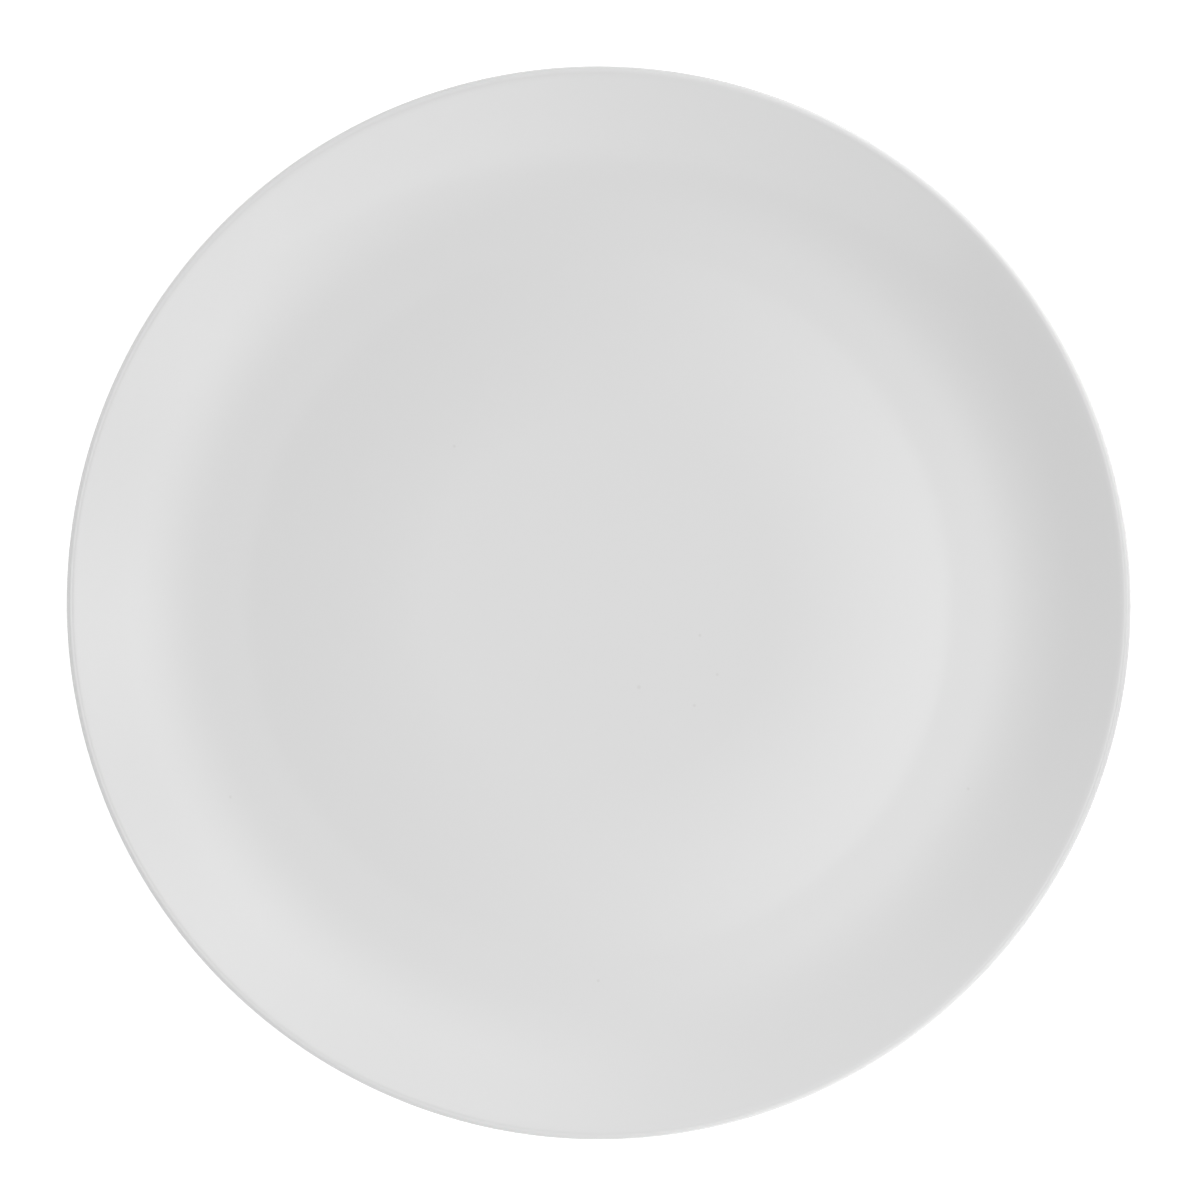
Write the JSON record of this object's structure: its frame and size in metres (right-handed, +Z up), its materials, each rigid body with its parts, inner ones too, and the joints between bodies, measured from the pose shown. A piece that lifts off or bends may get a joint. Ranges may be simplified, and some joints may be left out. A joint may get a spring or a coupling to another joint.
{
  "type": "dessert plate",
  "caption": "Round coupe dessert plate in plain white glazed porcelain, with a level well, a gently rising rim, a rounded lip and a foot ring.",
  "frame": {"origin": "centre of the foot ring, on the surface that the plate stands on", "axes": "+Z up along the plate's turning axis; X and Y are alike, because the plate is round"},
  "size_m": [0.21, 0.21, 0.0206],
  "materials": {
    "white_glaze": "glossy clear glaze over a white porcelain body, bare and matt on the foot's standing face"
  },
  "bodies": {
    "root": {"plate": "white_glaze"}
  },
  "joints": []
}
